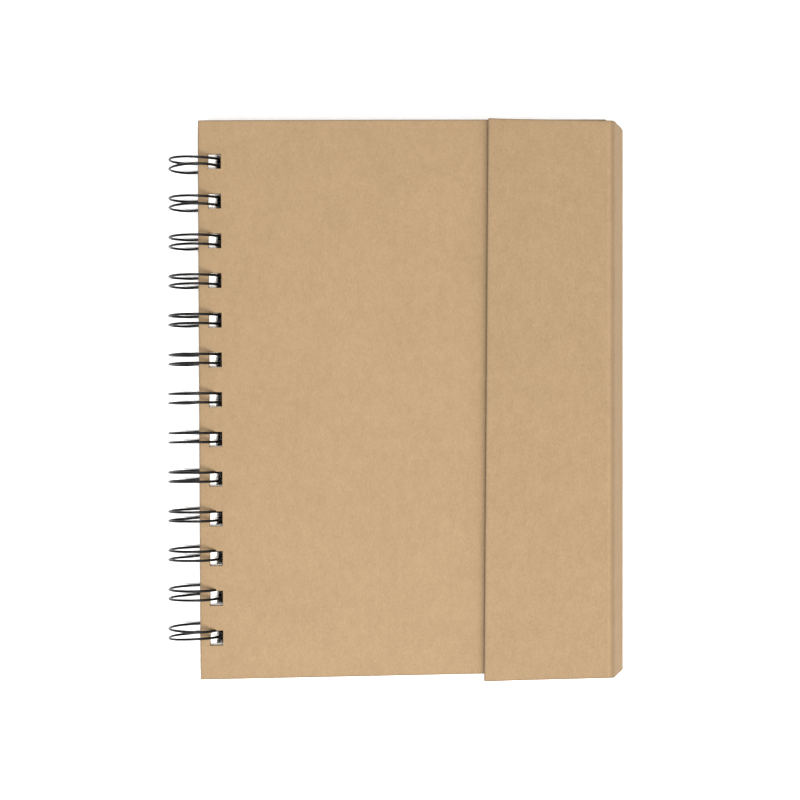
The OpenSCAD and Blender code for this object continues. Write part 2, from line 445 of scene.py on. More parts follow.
# %% Wire and nickel
def wire_finish():
    """Nylon-coated steel wire."""
    finish = Finish("black_wire", roughness=0.34, specular=0.12)
    at = finish.object_place()
    peel = finish.noise(at, size_mm=0.7, detail=2.0)
    scuffs = finish.strands(at, length_mm=1.8, width_mm=0.12, turn=35, share=0.30)
    colour = finish.blend(finish.sums("MULTIPLY", scuffs, 0.25), shade(5, 4, 5),
                          shade(17, 15, 15))
    finish.put(colour, finish.shader.inputs["Base Color"])
    finish.put(finish.sums("ADD", 0.26, finish.sums("MULTIPLY", peel, 0.16)),
               finish.shader.inputs["Roughness"])
    finish.shader.inputs["Coat Weight"].default_value = 0.05
    finish.shader.inputs["Coat Roughness"].default_value = 0.16
    finish.put(finish.bump(peel, depth_mm=0.02, strength=0.3), finish.shader.inputs["Normal"])
    return finish.material


def nickel_finish():
    """Brushed nickel plate."""
    finish = Finish("nickel", roughness=0.3, specular=0.5)
    finish.shader.inputs["Metallic"].default_value = 1.0
    at = finish.object_place()
    brushed = finish.noise(finish.stretched(at, (0.3, 6.0, 0.3)), size_mm=0.5, detail=3.0)
    colour = finish.blend(finish.sums("MULTIPLY", brushed, 0.4), shade(206, 204, 200),
                          shade(168, 166, 162))
    finish.put(colour, finish.shader.inputs["Base Color"])
    finish.put(finish.bump(brushed, depth_mm=0.01, strength=0.3), finish.shader.inputs["Normal"])
    return finish.material


black_wire = wire_finish()
nickel = nickel_finish()
print("metals:", black_wire.name, nickel.name)

# %% [markdown]
# ## Flat pieces with punched holes
#
# Boards, linings and sheets are all one thing: a flat oblong with a row of square holes. A boolean
# cut would leave long thin faces, so the plan is laid out as a grid whose lines run along the
# holes' sides, and the cells inside a hole are simply left out. Extra lines near the edges carry an
# attribute that fades from the edge inwards: wear on the covers, painted shade on the sheets.

# %% Plans laid out on a grid
EDGE_BANDS = (0.6 * MM, 1.3 * MM, 2.6 * MM)
CELL = 9 * MM
WIDE_CELL = 40 * MM


def grid_lines(low, high, marks, edges=(True, True), cell=CELL):
    """Lines from low to high through every mark, with bands by the edges and no wide cell."""
    lines = {round(low, 7), round(high, 7)} | {round(m, 7) for m in marks if low < m < high}
    for band in EDGE_BANDS:
        lines |= {round(low + band, 7)} if edges[0] else set()
        lines |= {round(high - band, 7)} if edges[1] else set()
    ordered = sorted(lines)
    full = []
    for a, b in zip(ordered, ordered[1:]):
        parts = max(1, math.ceil((b - a) / cell))
        full += [a + (b - a) * k / parts for k in range(parts)]
    return full + [ordered[-1]]


def in_hole(x, y, holes):
    """Whether a point of the plan is inside one of a row of holes."""
    if not holes:
        return False
    near, far, sides = holes
    return near < x < far and any(foot < y < head for foot, head in sides)


def plan(bm, xs, ys, z, holes, keep=lambda x, y: True):
    """Adds the cells of a grid at height z, without those in holes or that keep turns down."""
    corners = {}

    def corner(x, y):
        if (x, y) not in corners:
            corners[x, y] = bm.verts.new((x, y, z))
        return corners[x, y]

    faces = []
    for x0, x1 in zip(xs, xs[1:]):
        for y0, y1 in zip(ys, ys[1:]):
            middle = (x0 + x1) / 2, (y0 + y1) / 2
            if not in_hole(*middle, holes) and keep(*middle):
                corners_of_cell = corner(x0, y0), corner(x1, y0), corner(x1, y1), corner(x0, y1)
                faces.append(bm.faces.new(corners_of_cell))
    return faces


def hole_marks(holes):
    """The grid lines that a row of holes needs, along X and along Y."""
    if not holes:
        return [], []
    near, far, sides = holes
    return [near, far], [y for side in sides for y in side]


print("a sheet's grid has", [len(marks) for marks in hole_marks(sheet_holes)], "lines at its holes")

# %% [markdown]
# ## From mesh code to a piece of the book
#
# Each piece gets its flat place and its attributes, is laid on the table by the one matrix, and is
# then told which body of the working model it rides on.

# %% Finishing a piece
def fade(distance, reach):
    """1 at an edge and 0 at reach or more from it."""
    return max(0.0, 1.0 - distance / reach)


def make_piece(name, bm, material, slot, wear=None, groove=None, local=Matrix(), warp=None):
    """Turns a bmesh into an object on the table. local takes the bmesh to the book's axes."""
    mesh = bpy.data.meshes.new(name)
    bm.to_mesh(mesh)
    bm.free()
    flat = [local @ v.co for v in mesh.vertices]
    rest = mesh.attributes.new("rest", "FLOAT_VECTOR", "POINT")
    rest.data.foreach_set("vector", [x for place in flat for x in place])
    # The first attribute is wear on the covers and painted shade on the sheets; the second is the painted shade of
    # a crease.
    for kind, amount in (("wear", wear), ("groove", groove)):
        values = [amount(v.co) if amount else 0.0 for v in mesh.vertices]
        mesh.attributes.new(kind, "FLOAT", "POINT").data.foreach_set("value", values)
    if warp:
        for vertex in mesh.vertices:
            vertex.co = warp(vertex.co)
    mesh.transform(lay @ local)
    mesh.materials.append(material)
    piece = bpy.data.objects.new(name, mesh)
    bpy.context.scene.collection.objects.link(piece)
    return piece


# How far the edge wear, and the painted shade on the sheets, reaches in from an edge.
WEAR_AND_SHADE_REACH = 0.8 * MM
WEAR_AND_SHADE_FALL = 1.5


def edge_wear(low, high, near_open=False, far_open=False):
    """Wear on the covers and painted shade on the sheets, fading inwards from the edges of an oblong and not from
    an end that is open.
    """

    def wear(p):
        near = [p.y - low.y, high.y - p.y]
        near += [] if near_open else [p.x - low.x]
        near += [] if far_open else [high.x - p.x]
        return fade(max(0.0, min(near)), WEAR_AND_SHADE_REACH) ** WEAR_AND_SHADE_FALL

    return wear


def punched_slab(bm, low, high, holes, cell=CELL):
    """A flat oblong with holes right through it."""
    mark_x, mark_y = hole_marks(holes)
    xs = grid_lines(low.x, high.x, mark_x, cell=cell)
    ys = grid_lines(low.y, high.y, mark_y, cell=cell)
    floor = plan(bm, xs, ys, low.z, holes)
    raised = bmesh.ops.extrude_face_region(bm, geom=floor)["geom"]
    top = [g for g in raised if isinstance(g, bmesh.types.BMVert)]
    bmesh.ops.translate(bm, verts=top, vec=(0, 0, high.z - low.z))


def face_outwards(bm):
    """Turns every face of a closed shape to look out of it."""
    bmesh.ops.recalc_face_normals(bm, faces=bm.faces)


print("wear fades over", WEAR_AND_SHADE_REACH / MM, "mm from each edge")

# %% [markdown]
# ## Covering paper wrapped over a board
#
# A case maker pastes one sheet to the board and turns its edges over and in. The skin is built the
# same way: an outer face, walls down the edges and a strip turned in underneath, all with no
# thickness. Its corner edges are rounded while it is still a surface, and a Solidify modifier
# then gives it the paper's thickness, so the rounding stays even.

# %% Wrapped skin
PAPER = 0.26 * MM
ROUNDING = 0.42 * MM
CREASED_OVER = 1.0
TURN_IN = 7.5 * MM
TURN_IN_TO_HOLES = 0.8
INSIDE_LIFT = 0.06 * MM
DOME_RISE = 0.07 * MM
DOME_FLAT, DOME_SLOPE = 0.8, 0.5
DOME_LINES = 6


def raise_dome(bm, top, centre, radius):
    """Lifts the upper face of a skin over a disc that lies under it."""
    for v in bm.verts:
        away = math.hypot(v.co.x - centre.x, v.co.y - centre.y) / radius
        if abs(v.co.z - top) < 1e-6 and away < DOME_FLAT + DOME_SLOPE:
            slope = min(1.0, max(0.0, (away - DOME_FLAT) / DOME_SLOPE))
            v.co.z += DOME_RISE * (0.5 + 0.5 * math.cos(math.pi * slope))


def wrapped_skin(low, high, holes=None, outer_up=True, near_open=False, far_open=False,
                 dome=None, cell=CELL):
    """The covering paper of one board as a surface. An open end carries on into a fold."""
    outer, inner = (high.z, low.z + INSIDE_LIFT) if outer_up else (low.z, high.z - INSIDE_LIFT)
    mark_x, mark_y = hole_marks(holes)
    turn_x = min(TURN_IN, (holes[0] - low.x) * TURN_IN_TO_HOLES) if holes else TURN_IN
    turned_x = [] if near_open else [low.x + turn_x]
    turned_x += [] if far_open else [high.x - TURN_IN]
    mark_x = mark_x + turned_x
    mark_y = mark_y + [low.y + TURN_IN, high.y - TURN_IN]
    if dome:
        centre, radius = dome
        fine = [radius * k / DOME_LINES for k in range(-8, 9)]
        mark_x = mark_x + [centre.x + f for f in fine]
        mark_y = mark_y + [centre.y + f for f in fine]
    xs = grid_lines(low.x, high.x, mark_x, (not near_open, not far_open), cell)
    ys = grid_lines(low.y, high.y, mark_y)

    def turned_in(x, y):
        ends = y < low.y + TURN_IN or y > high.y - TURN_IN
        near = not near_open and x < low.x + turn_x
        far = not far_open and x > high.x - TURN_IN
        return ends or near or far

    bm = bmesh.new()
    plan(bm, xs, ys, outer, holes)
    plan(bm, xs, ys, inner, holes, turned_in)

    def wall(a, b):
        corners = (*a, outer), (*b, outer), (*b, inner), (*a, inner)
        bm.faces.new([bm.verts.new(corner) for corner in corners])

    for y0, y1 in zip(ys, ys[1:]):
        if not near_open:
            wall((low.x, y0), (low.x, y1))
        if not far_open:
            wall((high.x, y0), (high.x, y1))
    for x0, x1 in zip(xs, xs[1:]):
        wall((x0, low.y), (x1, low.y))
        wall((x0, high.y), (x1, high.y))
    bmesh.ops.remove_doubles(bm, verts=bm.verts, dist=1e-6)
    face_outwards(bm)
    largest = max((f for f in bm.faces if abs(f.calc_center_median().z - outer) < 1e-7),
                  key=lambda f: f.calc_area())
    if (largest.normal.z > 0) != outer_up:
        bmesh.ops.reverse_faces(bm, faces=bm.faces)
    creases = [e for e in bm.edges if len(e.link_faces) == 2 and e.calc_face_angle() > CREASED_OVER]
    bmesh.ops.bevel(bm, geom=creases, offset=ROUNDING, segments=4, profile=0.5,
                    affect="EDGES", clamp_overlap=True)
    if dome:
        raise_dome(bm, outer, *dome)
    return bm


def add_thickness(piece):
    """Gives a skin the paper's thickness, inwards from its outer face."""
    solid = piece.modifiers.new("paper_thickness", "SOLIDIFY")
    solid.thickness = PAPER
    solid.offset = -1
    solid.use_even_offset = True


print("covering paper", PAPER / MM, "mm thick, rounded by", ROUNDING / MM, "mm at its edges")

# %% [markdown]
# ## Front cover
#
# The front board sits loosely on its loops, so on a handled book it is never quite square to the
# back: this one is turned by about a third of a degree, within the play of the punched holes. Its
# foot was also cut two thirds of a degree further out of square, and its head stands a hair proud
# by the loops. One warp makes all of that, and the covering paper, core and lining share it.

# %% Front cover
# Each pair is a shift at the two ends of one side, from foot to head or from bound edge outwards.
BOUND_SIDE_SHIFT = (0.70 * MM, -0.20 * MM)
FOOT_RISE = (-0.96 * MM, 1.50 * MM)
HEAD_RISE = (-0.35 * MM, 0.48 * MM)
HEAD_SPARE = 0.28 * MM
HEAD_MARGIN = 0.05


def between(pair, share):
    """A value a share of the way from the first of a pair to the second."""
    return pair[0] + (pair[1] - pair[0]) * share


def cover_warp(p):
    """Turns the front cover, cuts its foot out of square, and leaves its head a little proud."""
    u = (p.x - cover_low.x) / (cover_high.x - cover_low.x)
    v = (p.y - cover_low.y) / (cover_high.y - cover_low.y)
    rise = between((between(FOOT_RISE, u), between(HEAD_RISE, u)), v)
    rise += HEAD_SPARE * (1 - u * u) * fade(1 - v, HEAD_MARGIN)
    return Vector((p.x + between(BOUND_SIDE_SHIFT, v), p.y + rise, p.z))


bm = wrapped_skin(cover_low, cover_high, cover_holes)
front_wrap = make_piece("front_cover_wrap", bm, kraft, "kraft_paper",
                        edge_wear(cover_low, cover_high), warp=cover_warp)
add_thickness(front_wrap)
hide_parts("front_cover_paper")
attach(front_wrap, "front_cover")
print("front cover, mm:", [round(v / MM, 1) for v in cover_high - cover_low])


# %% [markdown]
# ## What is inside a cover
#
# Under the covering paper lies a stiff board, and over its inner face a thin lining that stops a
# few millimetres short of each wrapped edge. Both are plain slabs with the same holes as the
# cover, so two helpers build them for every cover of the book. They take the cover's own warp.

# %% Core boards and linings
def core_board(name, node, holes=None, ends=None, cell=WIDE_CELL, **shape):
    """The board inside a cover, built again where its cover is not quite straight."""
    low, high = ends or span(node)
    bm = bmesh.new()
    punched_slab(bm, low, high, holes, cell)
    face_outwards(bm)
    core = make_piece(name, bm, board, "core_board", **shape)
    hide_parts(node)
    return core


LINING_MARGIN = 3.2 * MM
LINING = 0.1 * MM


def lining_sheet(name, node, outer_up, holes=None, near=LINING_MARGIN, far=LINING_MARGIN,
                 ends=None, cell=CELL, **shape):
    """A lining pasted over the turned edges, short of them by a margin on each wrapped side."""
    low, high = ends or span(node)
    low = low + Vector((near, LINING_MARGIN, 0))
    high = high - Vector((far, LINING_MARGIN, 0))
    if outer_up:
        high.z = low.z + LINING
    else:
        low.z = high.z - LINING
    bm = bmesh.new()
    punched_slab(bm, low, high, holes, cell)
    face_outwards(bm)
    sheet = make_piece(name, bm, lining, "lining_paper",
                       edge_wear(low, high, near == 0, far == 0), **shape)
    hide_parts(node)
    return sheet


BOUND_MARGIN = 1.6 * MM
front_core = core_board("front_core_board", "front_board", cover_holes, warp=cover_warp)
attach(front_core, "front_cover")
front_liner = lining_sheet("front_lining_sheet", "front_lining", True, cover_holes,
                           near=BOUND_MARGIN, warp=cover_warp)
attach(front_liner, "front_cover")
print("front lining", round(LINING / MM, 2), "mm thick and", LINING_MARGIN / MM, "mm in from the edge")

# %% [markdown]
# ## Back cover
#
# The back is the same work with its outer face down. Its fore-edge end is left open, because the
# covering paper carries on from there over the lower fold without a cut. The case as a whole is
# about two millimetres shorter at its folds than at its bound edge. One small helper does that for
# every piece of it, by the amounts that belong to the lower and to the upper fold.

# %% Back cover
back_low, back_high = span("back_cover_paper")
case_foot, case_head = back_low.y, back_high.y
# How far the case is taken in at each fold, at its head and at its foot.
UPPER_IN = (0.55 * MM, 1.00 * MM)
LOWER_IN = (0.95 * MM, 1.20 * MM)
BACK_SHIFT = 0.95 * MM


def shorter(y, head, foot):
    """Takes a piece as long as the case in at its head and at its foot."""
    share = (head + foot) / (case_head - case_foot)
    return y * (1 - share) + (foot - head) / 2


def back_warp(p):
    """Takes in the back towards its fold, and cuts its bound edge a little out of square."""
    u = (p.x - back_low.x) / (back_high.x - back_low.x)
    v = (p.y - back_low.y) / (back_high.y - back_low.y)
    y = shorter(p.y, LOWER_IN[0] * u, LOWER_IN[1] * u)
    return Vector((p.x + BACK_SHIFT * (1 - u) * (1 - v), y, p.z))


bm = wrapped_skin(back_low, back_high, back_holes, outer_up=False, far_open=True)
back_wrap = make_piece("back_cover_wrap", bm, kraft, "kraft_paper",
                       edge_wear(back_low, back_high, far_open=True), warp=back_warp)
add_thickness(back_wrap)
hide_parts("back_cover_paper")
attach(back_wrap, "back")

back_core = core_board("back_core_board", "back_board", back_holes, warp=back_warp)
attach(back_core, "back")
back_liner = lining_sheet("back_lining_sheet", "back_lining", False, back_holes,
                          near=BOUND_MARGIN, far=0, warp=back_warp)
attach(back_liner, "back")
print("back cover, mm:", [round(v / MM, 1) for v in back_high - back_low])

# %% [markdown]
# ## The two folds
#
# Between two boards the covering paper and the lining are glued to each other, and this thin strip
# is the hinge. Shut, the outside bends round the edge and the inside tucks into the gap. First
# the axes are read from the two hinges, with a frame of its own for the board between them.

# %% Axes and frames of the folds
def fold_axis(name):
    """A hinge's place in the book's axes, seen from the foot: along X and up."""
    place = unlay @ Vector(joints[name]["pos_m"])
    return Vector((place.x, place.z))


lower_axis = fold_axis("fore_edge_fold")
upper_axis = fold_axis("flap_fold")
edge_way = (upper_axis - lower_axis).normalized()
edge_length = (upper_axis - lower_axis).length
edge_out = Vector((edge_way.y, -edge_way.x))
half_wall = (back_high.z - back_low.z) / 2
fold_room = lower_axis.x - back_high.x
across = Vector((0, 1, 0))
along = Vector((edge_way.x, 0, edge_way.y))
inwards = along.cross(across)
edge_frame = Matrix((along, across, inwards)).transposed().to_4x4()
edge_frame.translation = (lower_axis.x, 0, lower_axis.y)
print("fore-edge board", round(edge_length / MM, 1), "mm between its folds")


# %% [markdown]
# ## The outline of a fold
#
# Seen from the foot, the outside of a fold is straight, then round, then straight again. The paper
# is pressed in a little where the bone folder ran, and rolled in at the head and the foot like the
# skins beside it. So the outline is a list of points, and a solid is drawn through several of them.

# %% Outline of a fold
CREASE_DEPTH = 0.24 * MM
CREASE_HALF_WIDTH = 0.55 * MM
STRAIGHT_STEPS, ROUND_STEPS = 8, 10


def turned(n1, n2, share):
    """The direction between two others, a share of the way round."""
    bend = n1.angle(n2)
    return (n1 * math.sin((1 - share) * bend) + n2 * math.sin(share * bend)) / math.sin(bend)


def prism(sections):
    """A closed solid through sections, each of them a place in Y and an outline in X and Z."""
    bm = bmesh.new()
    rings = [[bm.verts.new((p.x, y, p.y)) for p in outline] for y, outline in sections]
    count = len(rings[0])
    for one, two in zip(rings, rings[1:]):
        for k in range(count):
            bm.faces.new((one[k], one[(k + 1) % count], two[(k + 1) % count], two[k]))
    bm.faces.new(rings[0])
    bm.faces.new(rings[-1][::-1])
    face_outwards(bm)
    return bm


def rolled(y):
    """How far the outside of the case is rolled in at y, near its head and its foot."""
    room = min(case_head - y, y - case_foot) / ROUNDING
    lost = 1 - min(1.0, max(0.0, room))
    return ROUNDING * (1 - math.sqrt(1 - lost ** 2))


def crease(way, middle):
    """How far the outside of a fold is pressed in, way along it from the start of its bend."""
    return CREASE_DEPTH * math.exp(-((way - middle) / CREASE_HALF_WIDTH) ** 2)


def fold_outline(axis, u1, n1, u2, n2):
    """Points along the middle of a fold, each with its way outwards and its way along the fold."""
    bend = n1.angle(n2)
    arc = half_wall * bend
    steps = [fold_room * k / STRAIGHT_STEPS for k in range(STRAIGHT_STEPS, 0, -1)]
    shares = [k / ROUND_STEPS for k in range(ROUND_STEPS + 1)]
    points = [(axis + u1 * s, n1, -s) for s in steps]
    points += [(axis, turned(n1, n2, share), arc * share) for share in shares]
    points += [(axis + u2 * s, n2, arc + s) for s in reversed(steps)]
    return points


print("a fold's outline has", 2 * STRAIGHT_STEPS + ROUND_STEPS + 1, "points")

# %% [markdown]
# ## Strips round a fold
#
# The outside of a fold has a wide way round and the inside a very short one, so each gets its own
# strip. The kraft outside is painted darker along its pressed crease, as painted shade, which an
# attribute of the strip says.

# %% Kraft outside a fold
CREASE_ROUND = 0.40 * MM
# How far the painted shade of a crease spans: full near the pressed line, then fading out.
CREASE_SHADE_FLOOR, CREASE_SHADE_FADE = 0.45 * MM, 0.8 * MM
RIM_SHARES = (0.1, 0.3, 0.6, 1.0)
STRIP = 0.5 * MM
STRIP_CELL = 20 * MM
STRIP_SMOOTH = math.radians(50)


def kraft_strip(node, axis, sides, creased, warp):
    """The covering paper outside a fold. creased is the side, 0 or 1, by which it was pressed."""
    (u1, n1), (u2, n2) = sides
    bend = n1.angle(n2)
    points = fold_outline(axis, u1, n1, u2, n2)
    middle = CREASE_ROUND if creased == 0 else half_wall * bend - CREASE_ROUND

    def outside(y):
        shrunk = half_wall - rolled(y)
        return [base + n * (shrunk - crease(way, middle)) for base, n, way in points]

    flat, out = sides[creased]
    angle = CREASE_ROUND / half_wall
    pressed = axis + (out * math.cos(angle) - flat * math.sin(angle)) * half_wall

    # Painted shade along the crease: 1 near the pressed line, fading to 0 away from it.
    def groove(p):
        away = (Vector((p.x, p.z)) - pressed).length
        return fade(max(0.0, away - CREASE_SHADE_FLOOR), CREASE_SHADE_FADE)

    rims = [case_foot + ROUNDING * share for share in RIM_SHARES]
    rims += [case_head - ROUNDING * share for share in RIM_SHARES]
    ys = grid_lines(case_foot, case_head, rims, cell=STRIP_CELL)
    under = [base + n * (half_wall - STRIP) for base, n, way in points]
    solid = prism([(y, outside(y) + under[::-1]) for y in ys])
    wear = edge_wear(Vector((0, case_foot, 0)), Vector((1, case_head, 0)))
    strip = make_piece(node + "_kraft", solid, kraft, "kraft_paper", wear, groove, warp=warp)
    strip.data.set_sharp_from_angle(angle=STRIP_SMOOTH)
    for polygon in strip.data.polygons:
        polygon.use_smooth = True
    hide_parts(node)
    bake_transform(strip)


print("each crease lies", CREASE_ROUND / MM, "mm round from the start of its bend")

# %% [markdown]
# ## Lining inside a fold
#
# Inside, the lining runs from board to board and is tucked a little into the gap between them. Its
# two cut ends show at the head and the foot of the fold, where the kraft is turned in over them.

# %% Lining inside a fold
TUCK = 0.45 * MM
TUCK_STEPS = 5
LINER_SHORT = 0.04 * MM
FACES_HEAD = 0.9


def lining_strip(node, axis, sides, warp):
    """The lining inside a fold, tucked into the gap between the two boards."""
    (u1, n1), (u2, n2) = sides
    corner_1 = axis + u1 * fold_room - n1 * (half_wall - INSIDE_LIFT)
    corner_2 = axis + u2 * fold_room - n2 * (half_wall - INSIDE_LIFT)
    tucked = axis - turned(n1, n2, 0.5) * TUCK
    inside = [corner_1.lerp(tucked, k / TUCK_STEPS) for k in range(TUCK_STEPS + 1)]
    inside += [corner_2.lerp(tucked, k / TUCK_STEPS) for k in range(TUCK_STEPS - 1, -1, -1)]
    points = fold_outline(axis, u1, n1, u2, n2)
    hidden = [base + n * (half_wall - STRIP) for base, n, way in points]
    ys = grid_lines(case_foot + LINER_SHORT, case_head - LINER_SHORT, [], cell=STRIP_CELL)
    solid = prism([(y, inside + hidden[::-1]) for y in ys])
    liner = make_piece(node + "_lining", solid, lining, "lining_paper", warp=warp)
    liner.data.materials.append(kraft)
    for polygon in liner.data.polygons:
        if abs(polygon.normal.y) > FACES_HEAD:
            polygon.material_index = 1
    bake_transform(liner)


print("the lining is tucked in by", TUCK / MM, "mm")

# %% [markdown]
# ## Both folds
#
# A fold is made from two sides, each of them a way along its board and a way out of it. The lower
# fold joins the back to the fore-edge board, and the upper one joins that board to the flap. The
# strips are taken in by as much as the boards beside them.

# %% Both folds
def edge_warp(p):
    """Takes in the fore-edge board, in that board's own frame."""
    share = p.x / edge_length
    head, foot = (between((LOWER_IN[k], UPPER_IN[k]), share) for k in range(2))
    return Vector((p.x, shorter(p.y, head, foot), p.z))


def upper_warp(p):
    """Takes in the strips of the upper fold."""
    return Vector((p.x, shorter(p.y, *UPPER_IN), p.z))


def lower_warp(p):
    """Takes in the strips of the lower fold."""
    return Vector((p.x, shorter(p.y, *LOWER_IN), p.z))


left = Vector((-1, 0))
up = Vector((0, 1))
lower_sides = (left, -up), (edge_way, edge_out)
upper_sides = (-edge_way, edge_out), (left, up)
kraft_strip("lower_fold", lower_axis, lower_sides, 0, lower_warp)
lining_strip("lower_fold", lower_axis, lower_sides, lower_warp)
kraft_strip("upper_fold", upper_axis, upper_sides, 1, upper_warp)
lining_strip("upper_fold", upper_axis, upper_sides, upper_warp)
for name, ((u1, n1), (u2, n2)) in (("lower", lower_sides), ("upper", upper_sides)):
    print(name, "fold bends by", round(math.degrees(n1.angle(n2)), 1), "deg")

# %% [markdown]
# ## Fore-edge board
#
# A narrow board covers the fore edge. Both its long ends run on into folds, so only its head and
# tail are turned in. It is drawn flat in a frame of its own, which starts at the lower fold.

# %% Fore-edge board
edge_low = Vector((fold_room, case_foot, -half_wall))
edge_high = Vector((edge_length - fold_room, case_head, half_wall))
bm = wrapped_skin(edge_low, edge_high, outer_up=False, near_open=True, far_open=True)
edge_wrap = make_piece("fore_edge_wrap", bm, kraft, "kraft_paper",
                       edge_wear(edge_low, edge_high, True, True), local=edge_frame,
                       warp=edge_warp)
add_thickness(edge_wrap)
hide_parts("fore_edge_cover_paper")
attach(edge_wrap, "fore_edge")

BOARD_INSET = 0.3 * MM
inset = Vector((0, BOARD_INSET, BOARD_INSET))
edge_core = core_board("fore_edge_core_board", "fore_edge_board",
                       ends=(edge_low + inset, edge_high - inset), local=edge_frame,
                       warp=edge_warp)
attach(edge_core, "fore_edge")
edge_liner = lining_sheet("fore_edge_lining_sheet", "fore_edge_lining", False, near=0, far=0,
                          ends=(edge_low, edge_high), local=edge_frame, warp=edge_warp)
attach(edge_liner, "fore_edge")
print("fore-edge board, mm:", [round(v / MM, 1) for v in edge_high - edge_low])

# %% [markdown]
# ## Flap
#
# The flap ends in a free edge that was cut by eye, so it isn't quite parallel to the fold, and use
# has lifted it by half a millimetre. A thin magnet sits in the board half way along. Paper pasted
# over a magnet shows it as a faint round rise, so the skin gets a dome a few hundredths of a
# millimetre high. Both need a finer grid than a flat cover does.

# %% Flap
flap_low, flap_high = span("flap_cover_paper")
magnet_low, magnet_high = span("flap_magnet")
magnet_middle = (magnet_low + magnet_high) / 2
magnet_radius = (magnet_high.x - magnet_low.x) / 2
OFF_SQUARE = math.tan(math.radians(0.4))
EDGE_LIFT = 0.55 * MM
LIFTED = 11 * MM
FINE_CELL, CURL_CELL = 2.5 * MM, 4 * MM


def flap_warp(p):
    """Turns the flap's free edge a little, lifts it, and takes in the end by the fold."""
    share = (p.x - flap_low.x) / (upper_axis.x - flap_low.x)
    lift = EDGE_LIFT * max(0.0, 1 - (p.x - flap_low.x) / LIFTED) ** 2
    y = shorter(p.y, UPPER_IN[0] * share, UPPER_IN[1] * share)
    return Vector((p.x + (1 - share) * OFF_SQUARE * p.y, y, p.z + lift))


bm = wrapped_skin(flap_low, flap_high, far_open=True, dome=(magnet_middle, magnet_radius),
                  cell=FINE_CELL)
# The flap's kraft is the darker copy, painted shade.
flap_wrap = make_piece("flap_wrap", bm, shaded_flap_kraft, "kraft_paper",
                       edge_wear(flap_low, flap_high, far_open=True), warp=flap_warp)
add_thickness(flap_wrap)
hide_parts("flap_cover_paper")
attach(flap_wrap, "flap")
flap_core = core_board("flap_core_board", "flap_board", cell=CURL_CELL, warp=flap_warp)
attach(flap_core, "flap")
flap_liner = lining_sheet("flap_lining_sheet", "flap_lining", True, far=0, cell=CURL_CELL,
                          warp=flap_warp)
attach(flap_liner, "flap")
print("flap, mm:", [round(v / MM, 1) for v in flap_high - flap_low])

# %% [markdown]
# ## Drawing paper
#
# The block is thirty sheets of heavy paper. Punched paper never lines up perfectly, so each sheet
# is moved by a seeded random tenth of a millimetre, which is what makes the fore edge of the block
# look like paper and not like a solid. The holes are punched a little long, and on the bound side
# they end just inside the wire, so that white paper shows beside it.

# %% Sheets
LEAVES, GATHERINGS = 5, 4
STRAY = 0.12 * MM
SLACK = 0.004 * MM
HOLE_NEAR = 6.62 * MM
ROOM_BY_WIRE = 0.85 * MM
SHEET_HOLE_SPARE = 0.45 * MM
SHEET_SHIFT = 0.45 * MM
WORKING_WIRE = 1.0 * MM
LOOP = span("binding_wire")[1].x - WORKING_WIRE / 2
shuffle = random.Random(13)


def paper_stack(name, node, body):
    """All the sheets of one working part, each a little out of line."""
    low, high = span(node)
    heights = levels(node, 2)
    taller = [(y0 - SHEET_HOLE_SPARE, y1 + SHEET_HOLE_SPARE) for y0, y1 in sheet_holes[2]]

    def sheet_warp(p):
        v = (p.y - low.y) / (high.y - low.y)
        return Vector((p.x + SHEET_SHIFT * (1 - v), p.y, p.z))

    bm = bmesh.new()
    for foot, head in zip(heights[0::2], heights[1::2]):
        one = bmesh.new()
        start = Vector((low.x, low.y, foot + SLACK))
        wire_x = math.sqrt(LOOP ** 2 - foot ** 2)
        near = min(HOLE_NEAR, wire_x - ROOM_BY_WIRE)
        holes = near, sheet_holes[1], taller
        punched_slab(one, start, Vector((high.x, high.y, head - SLACK)), holes, WIDE_CELL)
        move = Vector((shuffle.uniform(-STRAY, STRAY), shuffle.uniform(-STRAY, STRAY), 0))
        bmesh.ops.translate(one, verts=one.verts, vec=move)
        face_outwards(one)
        sheet = bpy.data.meshes.new("one_sheet")
        one.to_mesh(sheet)
        one.free()
        bm.from_mesh(sheet)
        bpy.data.meshes.remove(sheet)
    # On the sheets the edge attribute is painted shade, not wear.
    stack = make_piece(name, bm, drawing_paper, "drawing_paper", edge_wear(low, high),
                       warp=sheet_warp)
    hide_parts(node)
    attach(stack, body)
    return len(heights) // 2


sheets = 0
for k in range(1, LEAVES + 1):
    sheets += paper_stack(f"leaf_{k}_paper", f"leaf_{k}", f"leaf_{k}_sheets")
for k in range(1, GATHERINGS + 1):
    sheets += paper_stack(f"gathering_{k}_paper", f"gathering_{k}", "back")
print(sheets, "sheets of drawing paper")

# %% [markdown]
# ## Twin-loop wire
#
# The binding is one wire bent into a comb of long fingers and then rolled shut. Rolled out flat it
# is a simple line, so the line is drawn flat first, as way round the roll and way along the spine,
# and each point is then wrapped on the loops' cylinder. The two wires of a finger stand closest
# where they pass the boards and spread behind the spine.

# %% How the wire runs
WIRE = 0.84 * MM
TIP, LINK = 279.0, -62.0
CORNER = 1.2 * MM
STUB = 2 * MM
# Half the gap between the two wires of a finger, in millimetres, at degrees round the roll.
SPACING = ((LINK, 1.40), (0.0, 1.42), (75.0, 1.44), (180.0, 1.50), (235.0, 1.55), (TIP, 1.45))
# Fingers that were squeezed a little, by how much, and where round the roll.
PINCHED = {0: 0.40 * MM, 11: 0.22 * MM, 12: 0.42 * MM}
PINCH_AT, PINCH_REACH = 60, 100
LEAN_BACK = 0.28 * MM
LEAN_FROM, LEAN_GROWS, LEAN_ENDS = 90, 100, 40


def ease(share):
    """From 0 to 1 with a soft start and a soft end."""
    return 0.5 - 0.5 * math.cos(math.pi * min(1.0, max(0.0, share)))


